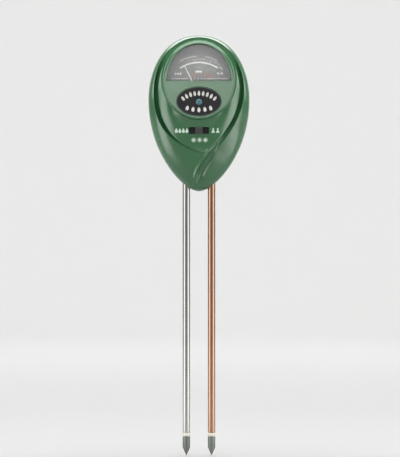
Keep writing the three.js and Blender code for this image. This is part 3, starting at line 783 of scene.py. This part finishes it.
def probe_cutter():
    hole = [(2.65, 170), (2.65, 200)]
    return joined_mesh("probe_cutter", [turned_mesh("hole", hole, (x, 0), "z") for x in PROBE_X.values()])


def joined_mesh(name, meshes):
    bm = bmesh.new()
    for mesh in meshes:
        bm.from_mesh(mesh)
        bpy.data.meshes.remove(mesh)
    joined = bpy.data.meshes.new(name)
    bm.to_mesh(joined)
    bm.free()
    return joined


def rear_cover_mesh():
    angles = head_angles()
    outline = outline_radius(angles)

    def dome_rings(reach, depth, turns):
        return [ring_at(angles, reach * share, dome_depth(share, depth)) for share in edge_share(turns)]

    build = ShellBuilder()
    turns = np.linspace(QUARTER, 0, REAR_STEPS + 1)
    flat, parting = build.skin(dome_rings(outline, REAR_DEPTH, turns))
    build.fill([flat])
    turns = np.linspace(0, QUARTER, REAR_INNER_STEPS + 1)
    lip, floor = build.skin(dome_rings(outline * INNER_SCALE, REAR_DEPTH - REAR_WALL, turns))
    build.join(parting, lip)
    build.fill([floor])
    return build.mesh("rear_cover_skin")


SKIN_CREASE = 66


def make_shells():
    """Both halves of the head, with their holes."""
    recess = [(3.0, 9), (3.0, REAR_DEPTH - 0.5), (3.4, REAR_DEPTH + 2)]
    holes = [turned_mesh("recess", recess, centre_of(node)[::2], "y") for node in CASE_SCREWS]
    for mesh, node, cutter in ((front_shell_mesh(), "front_shell", slot_cutter()),
                               (rear_cover_mesh(), "rear_cover", joined_mesh("recesses", holes))):
        shell = finish_piece(mesh, GREEN, "green_plastic", (node,), crease=SKIN_CREASE)
        carve(shell, cutter, SKIN_CREASE)
        carve(shell, probe_cutter(), SKIN_CREASE)


# ---- front details ----
def make_window():
    thick = WINDOW_HIGH[1] - WINDOW_LOW[1]
    steps = [(-FIT - 0.25, 0.0), (-FIT - 0.08, 0.07), (-FIT, 0.25), (-FIT, thick)]
    rings = [[(x, WINDOW_LOW[1] + drop, z) for x, z in window_outline(grow)] for grow, drop in steps]
    finish_piece(ring_solid("dial_window_pane", rings), GLASS, "clear_window", ("dial_window",))


def make_badge():
    """The oval plate with eased edges, round the light sensor."""
    face = BADGE_LOW[1]
    build = ShellBuilder()
    rim = [(-0.36, face), (-0.32, face + 0.12), (0.02 - FIT, face + 0.2), (-FIT, face + 0.5)]
    front, back = build.wall(badge_outline, rim)
    hole_front, hole_back = build.wall(lens_outline, [(0.1, face), (0, face + 0.08), (0, face + 0.5)])
    build.fill([front, hole_front])
    build.fill([back, hole_back])
    finish_piece(build.mesh("nameplate_oval"), BADGE_BLACK, "black_plate", ("nameplate",))


LEAF_MIDDLE = 0.486    # share of a leaf's length that lies on the arc


def leaf_halves(length, width, rib=0.22, count=10):
    """A leaf from (0, 0) to (0, length) in two halves with a bare midrib between them."""
    t = np.linspace(0.04, 0.96, count)
    half = width / 2 * np.sin(math.pi * t**0.85) ** 0.8
    right = [(rib / 2 + h, length * s) for h, s in zip(half, t)]
    right += [(rib / 2, length * s) for s in t[::-1]]
    return [right, [(-x, z) for x, z in right[::-1]]]


def placed(outline, centre, turn, middle=0.0):
    """Turns an outline clockwise by turn radians round (0, middle) and puts that point at centre."""
    c, s = math.cos(turn), math.sin(turn)
    return [(centre[0] + x * c + (z - middle) * s, centre[1] - x * s + (z - middle) * c) for x, z in outline]


def arc_places(radius, centre, degrees):
    """Places on an arc, measured clockwise from straight up, with the turn of each."""
    for degree in degrees:
        a = math.radians(degree)
        yield (centre[0] + radius * math.sin(a), centre[1] + radius * math.cos(a)), a


LEAF_ROWS = [
    # arc radius, arc centre above the plate's, middle direction, half turn, leaves, length, width
    (18.0, -12.6, 0, 36, 9, 3.6, 1.35),
    (26.6, 21.0, 180, 17, 5, 3.5, 1.7),
]


def make_ornaments():
    """White leaves in two arcs on the nameplate, all upright."""
    outlines = []
    for radius, rise, way, spread, count, length, width in LEAF_ROWS:
        centre = (0, centre_of("nameplate")[2] + rise)
        for place, turn in arc_places(radius, centre, np.linspace(way - spread, way + spread, count)):
            for half in leaf_halves(length, width):
                outlines.append(placed(half, place, turn + math.radians(way), length * LEAF_MIDDLE))
    mesh = prism_mesh("nameplate_leaves", outlines, BADGE_LOW[1] - 0.08, BADGE_LOW[1] + 0.1)
    finish_piece(mesh, WHITE, "white_paint")


DOME_TURN = 1.2
DOME_RISE = 0.75


def make_lens():
    """A domed lens with a dull pupil in its middle."""
    centre = centre_of("sensor_lens")[::2]
    radius = LENS_HIGH[0]
    front, back = LENS_LOW[1], LENS_HIGH[1]
    share = DOME_RISE / (1 - math.cos(DOME_TURN))
    profile = [(radius * math.sin(a) / math.sin(DOME_TURN), front + share * (1 - math.cos(a)))
               for a in np.linspace(0.02, DOME_TURN, 12)]
    profile += [(radius, front + DOME_RISE + 0.15), (radius, back)]
    mesh = turned_mesh("sensor_lens_dome", profile, centre, "y")
    finish_piece(mesh, LENS, "teal_lens", ("sensor_lens",))
    reach = radius * 0.48
    profile = [(reach * 0.9, front - 0.02), (reach, front + 0.05), (reach, front + 0.6)]
    finish_piece(turned_mesh("sensor_lens_pupil", profile, centre, "y"), PUPIL, "teal_lens")


KNOB_RIBS = np.linspace(-2.0, 2.0, 5)
RIB_HALF = 0.27


def make_switch():
    """Slot tray and ribbed knob."""
    low, high = TRAY_LOW, TRAY_HIGH
    tray = finish_piece(boxes_mesh("switch_tray", [(low, high)]), BLACK, "black_plastic", ("switch_body",))
    inner_low = (low[0] + 1.4, low[1] - 2, low[2] + 1.7)
    inner_high = (high[0] - 1.4, high[1] - 1.7, high[2] - 1.7)
    carve(tray, boxes_mesh("tray_cutter", [(inner_low, inner_high)]))
    add_bevel(tray, 0.15, 2)
    low, high = KNOB_LOW, KNOB_HIGH
    crown, cap_back = low[1] + 0.45, low[1] + 1.1
    cap = ((low[0], crown, low[2]), (high[0], cap_back, high[2]))
    stem = ((-1.6, cap_back - 0.2, SWITCH_Z - 1.8), (1.6, high[1], SWITCH_Z + 1.8))
    ribs = [((x - RIB_HALF, low[1], low[2] + 0.15), (x + RIB_HALF, crown + 0.2, high[2] - 0.15))
            for x in KNOB_RIBS]
    mesh = boxes_mesh("switch_knob_ribbed", [cap, stem, *ribs])
    knob = finish_piece(mesh, KNOB_GREY, "grey_plastic", ("switch_knob",), "selector")
    add_bevel(knob, 0.14, 3)


# ---- printed symbols ----
def box_outline(left, right, low, high):
    return [(left, low), (right, low), (right, high), (left, high)]


def drop_outline(height, count=18):
    """A water drop with its point up, centred on (0, 0)."""
    radius = height * 0.31
    t = np.linspace(-math.pi * 0.18, math.pi * 1.18, count)
    round_part = [(radius * math.cos(-a), -height / 2 + radius + radius * math.sin(-a)) for a in t]
    return round_part + [(0, height / 2)]


FLASK_SIDE = [(0.42, -0.5), (0.14, 0.1), (0.14, 0.4), (0.2, 0.4), (0.2, 0.5)]


def flask_outline(height):
    """A conical flask standing on its base, centred on (0, 0)."""
    right = [(x * height, z * height) for x, z in FLASK_SIDE]
    return right + [(-x, z) for x, z in right[::-1]]


def sun_outlines(size, rays=8):
    """A round sun and its rays, size across, centred on (0, 0)."""
    outlines = [ellipse_outline(size * 0.3, size * 0.3, (0, 0), 20)]
    ray = box_outline(-size * 0.065, size * 0.065, size * 0.36, size * 0.52)
    return outlines + [placed(ray, (0, 0), 2 * math.pi * k / rays) for k in range(rays)]


def shifted(outline, x, z):
    return [(px + x, pz + z) for px, pz in outline]


def front_face_y(outline):
    """Where the front surface lies behind each point of an outline drawn on the lower panel."""
    points = np.array(outline) - (0, HEAD_Z)
    share = np.hypot(*points.T) / outline_radius(np.arctan2(points[:, 1], points[:, 0]))
    return -front_depth(points, share, np.ones(len(points), bool))


def make_labels():
    """Drops, flasks and suns printed round the selector in place of words."""
    outlines = [shifted(drop_outline(3.3), -11.5 + k * 2.35, SWITCH_Z) for k in (-1.5, -0.5, 0.5, 1.5)]
    outlines += [shifted(flask_outline(3.0), 11.0 + k * 1.5, SWITCH_Z) for k in (-1, 1)]
    for k in (-1, 0, 1):
        outlines += [shifted(o, 0.4 + k * 3.9, SWITCH_Z - 6.3) for o in sun_outlines(3.3)]
    mesh = prism_mesh("selector_symbols", outlines, -0.12, 0.1)
    surface = np.concatenate([np.tile(front_face_y(outline), 2) for outline in outlines])
    for vert, y in zip(mesh.vertices, surface):
        vert.co.y += y * MM
    finish_piece(mesh, LABEL, "white_paint")


# ---- dial and needle ----
SCALE_RADIUS = 22.0
SCALE_HALF_TURN = 34.5
PRINT_Y = DIAL_FACE - 0.06
PRINT_BACK = DIAL_FACE + 0.1
DIAL_CENTRE = PIVOT[::2]


def arc_band(radius, thickness, start, end, steps=60):
    """A curved band between two angles clockwise from straight up."""
    degrees = np.linspace(start, end, steps)
    outer, inner = ([place for place, _ in arc_places(radius + side * thickness / 2, DIAL_CENTRE, degrees)]
                    for side in (1, -1))
    return outer + inner[::-1]


def tick(radius, length, width, degree):
    (place, turn), = arc_places(radius, DIAL_CENTRE, [degree])
    return placed(box_outline(-width / 2, width / 2, 0, length), place, turn)


def tick_row(start, end, gap, width, height=0.8):
    """Upright marks in the straight row under the scales."""
    low, high = ROW_Z - height / 2, ROW_Z + height / 2
    return [box_outline(x - width / 2, x + width / 2, low, high) for x in np.arange(start, end, gap)]


NUMBER_SIZE = 1.7


def number_mesh(text, place, turn):
    """A number printed on the dial, as a flat mesh."""
    curve = bpy.data.curves.new("number", "FONT")
    curve.body = text
    curve.size = NUMBER_SIZE * MM
    curve.align_x = "CENTER"
    curve.align_y = "CENTER"
    curve.extrude = 0.03 * MM
    obj = put("number", curve)
    deps = bpy.context.evaluated_depsgraph_get()
    mesh = bpy.data.meshes.new_from_object(obj.evaluated_get(deps))
    for vert in mesh.vertices:
        (x, z), = placed([vert.co.xy / MM], place, turn)
        vert.co = Vector((x, PRINT_Y - vert.co.z / MM, z)) * MM
    bpy.data.objects.remove(obj)
    return mesh


def print_numbers(name, radius, labels, material):
    """Numbers on an arc, as {degree: text}."""
    places = arc_places(radius, DIAL_CENTRE, labels)
    mesh = joined_mesh(name, [number_mesh(labels[d], *place) for d, place in zip(labels, places)])
    mesh.materials.clear()
    finish_piece(mesh, material, "white_paint")


def print_marks(name, outlines, material, sink=0.0):
    finish_piece(prism_mesh(name, outlines, PRINT_Y + sink, PRINT_BACK), material, "white_paint")


ROW_Z = 250.9       # the straight row of marks at the window's base
WORD_Z = 254.4      # the small symbols at the two ends of the scale
TICK_RINGS = [
    # radius, length, width, first degree, end, gap
    (25.6, 1.0, 0.24, -28.5, -2.5, 1.35),
    (25.6, 1.0, 0.24, 9.5, 27.5, 1.35),
    (22.8, 1.2, 0.28, 35.5, 42.0, 1.4),
]
GREEN_RINGS = [(17.6, 0.9, 0.3, 10, 24, 2.2), (20.4, 0.7, 0.2, -21, 22, 3.0)]


def tick_rings(rings):
    return [tick(radius, length, width, degree) for radius, length, width, start, end, gap in rings
            for degree in np.arange(start, end, gap)]


def make_dial():
    """Scales of a three-way meter: a white arc with tens, and a green row that runs down from 8."""
    main = np.linspace(-SCALE_HALF_TURN + 7, SCALE_HALF_TURN - 3, 11)
    white = [arc_band(SCALE_RADIUS, 0.95, -SCALE_HALF_TURN, SCALE_HALF_TURN)]
    white += [tick(SCALE_RADIUS + 0.3, 0.9, 0.22, d) for d in main]
    white += tick_row(-18.6, -7.0, 0.5, 0.3) + tick_row(5.6, 19.2, 0.5, 0.3) + tick_row(-5.0, 4.6, 2.2, 0.5)
    white.append(box_outline(-2.3, 2.0, 255.0, 256.2))
    white += [shifted(drop_outline(1.9), x, WORD_Z) for x in (-15.6, -13.9, -12.2)]
    white += [shifted(o, x, WORD_Z) for x in (12.8, 15.2) for o in sun_outlines(2.0)]
    white += tick_rings(TICK_RINGS)
    print_marks("dial_marks_white", white, DIAL_WHITE)
    print_marks("dial_marks_green", tick_rings(GREEN_RINGS), SCALE_GREEN)
    red = [arc_band(14.0, 2.6, -22, -6, 20), arc_band(14.4, 2.4, 10, 40, 24)]
    print_marks("dial_marks_red", red, SCALE_RED, 0.02)
    tens = {round(float(d), 2): str(i) for i, d in enumerate(main) if i}
    print_numbers("dial_numbers_white", 24.2, tens, DIAL_WHITE)
    green = {round(float(d), 2): str(n) for n, d in zip((8, 7, 6, 5, 4), np.linspace(-17, 14, 5))}
    print_numbers("dial_numbers_green", 19.3, green, SCALE_GREEN)
    print_numbers("dial_numbers_low", 19.3, {22.5: "3", 28.0: "2", 33.0: "1"}, DIAL_WHITE)


NEEDLE_TIP = 21.9
NEEDLE_TAIL = -5.0
NEEDLE_STEP = (7.2, 7.6)    # how far out the needle steps forward over the dial
NEEDLE_HALF = 0.42
HUB_Y = -8.5


def make_needle():
    """A thin tapered pointer: hub, lower arm, step forward over the dial, and long upper arm."""
    low, high = node_box("pointer")
    rest = -math.atan2(-low[0] - 0.3, high[2] - PIVOT[2])
    arm_y = low[1] + 0.2
    inner, outer = NEEDLE_STEP

    def bar(name, outline, front, back):
        return prism_mesh(name, [placed(outline, (0, PIVOT[2]), rest)], front, back)

    half, taper_z = NEEDLE_HALF, NEEDLE_TIP - 0.6
    long_arm = [(-half, inner), (half, inner), (0.26, taper_z), (0, NEEDLE_TIP), (-0.26, taper_z)]
    hub = [(0.8, HUB_Y - 0.3), (1.8, HUB_Y - 0.3), (1.8, HUB_Y + 0.3), (0.8, HUB_Y + 0.3), (0.8, HUB_Y - 0.3)]
    mesh = joined_mesh("needle_arm", [
        bar("arm", long_arm, arm_y - 0.2, arm_y + 0.2),
        bar("under", box_outline(-half, half, NEEDLE_TAIL, outer), HUB_Y - 0.25, HUB_Y + 0.25),
        bar("rise", box_outline(-half, half, inner, outer), arm_y + 0.2, HUB_Y - 0.25),
        turned_mesh("hub", hub, (0, PIVOT[2]), "y", 32),
    ])
    needle = finish_piece(mesh, NEEDLE_WHITE, "white_paint", ("pointer",), "needle")
    add_bevel(needle, 0.08, 2)


# ---- probes ----
PROBE_FINISH = {"left": (STEEL, "bright_steel"), "right": (COPPER, "copper")}
TUBE_EASE = 0.25
COLLAR_EASE = 0.3
BORE = 1.0
TIP_SHOULDER = 5.3
TIP_NOSE = 0.35


def make_probe(side, x):
    """A drawn tube, a moulded collar and a turned tip, one above the other."""

    def turn(piece, work, profile, material, slot):
        mesh = turned_mesh(f"probe_{piece}_{side}_{work}", profile, (x, 0), "z", 96)
        finish_piece(mesh, material, slot, (f"probe_{piece}_{side}",))

    def sleeve(low, high, ease, bore):
        """Profile of a ring with eased outer edges."""
        radius, bottom, top = high[1], low[2], high[2]
        profile = rounded_corner((radius - ease, bottom), (radius, bottom + ease))
        profile += rounded_corner((radius, top - ease), (radius - ease, top))
        return profile + [(bore, top), (bore, bottom), profile[0]]

    low, high = node_box(f"probe_tube_{side}")
    radius = high[1]
    turn("tube", "drawn", sleeve(low, high, TUBE_EASE, radius - 0.6), *PROBE_FINISH[side])
    collar = sleeve(*node_box(f"probe_collar_{side}"), COLLAR_EASE, BORE)
    turn("collar", "ring", collar, CREAM, "cream_plastic")
    low, high = node_box(f"probe_tip_{side}")
    bottom, top, shoulder = low[2], high[2], TIP_SHOULDER
    profile = [(0.02, bottom), (TIP_NOSE * 0.6, bottom + 0.12), (TIP_NOSE, bottom + 0.45)]
    profile += [(radius - 0.2, shoulder - 0.45), (radius - 0.05, shoulder - 0.15), (radius, shoulder + 0.1)]
    profile += rounded_corner((radius, top - TUBE_EASE), (radius - TUBE_EASE, top))
    turn("tip", "turned", profile + [(BORE, top), (BORE, 7.5)], ZINC, "zinc")


CROSS_BARS = [(-1.5, 1.5, -0.35, 0.35), (-0.35, 0.35, -1.5, -0.35), (-0.35, 0.35, 0.35, 1.5)]


def make_case_screw(node):
    """A pan-head screw with a cross recess, deep in the rear cover."""
    low, high = node_box(node)
    x, _, z = centre_of(node)
    radius = (high[0] - low[0]) / 2
    head, under = high[1], high[1] - 1.9
    profile = [(1.0, low[1]), (1.0, under)]
    profile += rounded_corner((radius, under), (radius, under + 0.3))
    profile += rounded_corner((radius, head - 0.7), (radius - 0.9, head), 6)
    profile += [(0.02, head + 0.02)]
    mesh = turned_mesh(f"{node}_pan", profile, (x, z), "y", 48)
    screw = finish_piece(mesh, SCREW_STEEL, "screw_steel", (node,))
    for left, right, bottom, top in CROSS_BARS:
        bar = ((x + left, head - 0.9, z + bottom), (x + right, head + 1, z + top))
        carve(screw, boxes_mesh("cross", [bar]))


# ---- stage, lights and camera ----
FLOOR_RADIUS, BEND_RADIUS, WALL_HEIGHT = 3.3, 0.9, 3.4
FLOOR_DROP = 0.0004
STUDIO_SIDES = 96
# The paper runs from its pale colour behind the meter to painted shade towards the camera and the sides.
PAPER_PAINTED_SHADE, PAPER_PALE = (0.38, 0.38, 0.38), (0.8, 0.8, 0.795)


def paper_shade():
    """Pale paper behind the meter, with painted shade that darkens it towards the camera and to both sides."""
    surface = Surface("studio_paper", {"Roughness": 0.9})
    axes = surface.add("ShaderNodeSeparateXYZ")
    surface.link(surface.point, axes.inputs[0])
    aside = surface.add("ShaderNodeMath", operation="ABSOLUTE")
    surface.link(axes.outputs["X"], aside.inputs[0])
    both = surface.add("ShaderNodeMath", operation="MULTIPLY")
    for source, start, end, target in ((axes.outputs["Y"], -0.9, 0.05, 0), (aside.outputs[0], 2.6, 1.0, 1)):
        share = surface.add("ShaderNodeMapRange", **{"From Min": start, "From Max": end})
        surface.link(source, share.inputs["Value"])
        surface.link(share.outputs[0], both.inputs[target])
    # Painted shade: the paper's colour is darker towards the camera and the sides.
    surface.feed("Base Color", both.outputs[0], PAPER_PAINTED_SHADE, PAPER_PALE, 0.0, 1.0)
    return surface.material


def make_stage():
    """A round studio: pale floor that curves up into a wall all round."""
    profile = [(0.001, -FLOOR_DROP), (0.5, -FLOOR_DROP), (FLOOR_RADIUS, -FLOOR_DROP)]
    for a in np.linspace(0, QUARTER, 13)[1:]:
        profile.append((FLOOR_RADIUS + BEND_RADIUS * math.sin(a), BEND_RADIUS * (1 - math.cos(a))))
    profile.append((FLOOR_RADIUS + BEND_RADIUS, WALL_HEIGHT))
    points = [(x, y, z) for r, z in profile for x, y in ellipse_outline(r, r, (0, 0), STUDIO_SIDES)]
    faces = [tuple(range(STUDIO_SIDES))]
    for start in range(0, len(points) - STUDIO_SIDES, STUDIO_SIDES):
        faces += ring_faces(start + STUDIO_SIDES, start, STUDIO_SIDES)
    mesh = bpy.data.meshes.new("studio_floor")
    mesh.from_pydata(points, [], faces)
    mesh.shade_smooth()
    mesh.materials.append(paper_shade())
    put("studio_floor", mesh)


def area_light(name, place, target, size, power, linked=(), state="EXCLUDE"):
    """EXCLUDE keeps the light off the linked objects, and INCLUDE lets it light nothing else."""
    light = bpy.data.lights.new(name, "AREA")
    light.shape = "RECTANGLE"
    light.size, light.size_y = size
    light.energy = power
    lamp = put(name, light)
    lamp.location = place
    lamp.rotation_euler = (Vector(target) - Vector(place)).to_track_quat("-Z", "Y").to_euler()
    lamp.visible_camera = False
    if linked:
        receivers = bpy.data.collections.new(f"{name}_linked")
        for piece in linked:
            receivers.objects.link(bpy.data.objects[piece])
        lamp.light_linking.receiver_collection = receivers
        for item in receivers.collection_objects:
            item.light_linking.link_state = state


PAPER = ["studio_floor"]
METAL = [f"probe_{work}" for side in SIDES for work in (f"tube_{side}_drawn", f"tip_{side}_turned")]
BESIDE = ((0, 0, 0.33), (0.26, 0.62))     # where the side softboxes look, and their size


def make_lights():
    """Softboxes close to the meter spare the paper, and weaker ones at the sides light the bare metal."""
    for way, side in ((-1, "left"), (1, "right")):
        beside = (way * 0.36, -0.2, 0.19)
        area_light(f"{side}_softbox", beside, *BESIDE, 1.8, PAPER + METAL)
        area_light(f"{side}_probe_softbox", beside, *BESIDE, 0.82, METAL, "INCLUDE")
        area_light(f"{side}_rim", (way * 0.36, 0.03, 0.37), (0, 0, 0.26), (0.22, 0.22), 0.6, PAPER)
    area_light("front_softbox", (0, -1.5, 0.37), (0, 0, 0.25), (0.5, 0.3), 2.6, METAL)
    area_light("top_softbox", (0, -0.25, 1.2), (0, 0, 0.2), (2.0, 1.2), 34, PAPER)
    area_light("crown_softbox", (0, 0.32, 0.8), (0, 0, 0.28), (0.9, 0.5), 8, PAPER)
    area_light("paper_light", (0, 0, 3.2), (0, 0, 0), (3.0, 3.0), 116, PAPER, "INCLUDE")
    area_light("wall_wash", (0, 2.2, 2.2), (0, 4.2, 0.9), (3.0, 0.8), 34)
    world = bpy.data.worlds.new("studio_world")
    world.use_nodes = True
    sky = world.node_tree.nodes["Background"]
    sky.inputs["Color"].default_value = (0.95, 0.97, 1.0, 1)
    sky.inputs["Strength"].default_value = 0.12
    bpy.context.scene.world = world


VIEW_HEIGHT = 0.305      # what the frame's height takes in at the object
VIEW_CENTRE = (0.0007, 0.1513)
CAMERA_DISTANCE = 3.0
SENSOR = 0.036


def make_camera():
    camera = bpy.data.cameras.new("camera")
    camera.sensor_width = SENSOR / MM
    camera.lens = SENSOR / MM * CAMERA_DISTANCE / VIEW_HEIGHT
    camera.clip_start = 0.01
    obj = put("camera", camera)
    obj.location = (VIEW_CENTRE[0], -CAMERA_DISTANCE, VIEW_CENTRE[1])
    obj.rotation_euler = (QUARTER, 0, 0)
    bpy.context.scene.camera = obj
    bpy.context.scene.view_settings.view_transform = "Standard"


make_camera()
dress_cad_nodes()
make_shells()
make_window()
make_badge()
make_ornaments()
make_lens()
make_switch()
make_labels()
make_dial()
make_needle()
for probe_side, probe_x in PROBE_X.items():
    make_probe(probe_side, probe_x)
for screw_node in CASE_SCREWS:
    make_case_screw(screw_node)
make_stage()
make_lights()
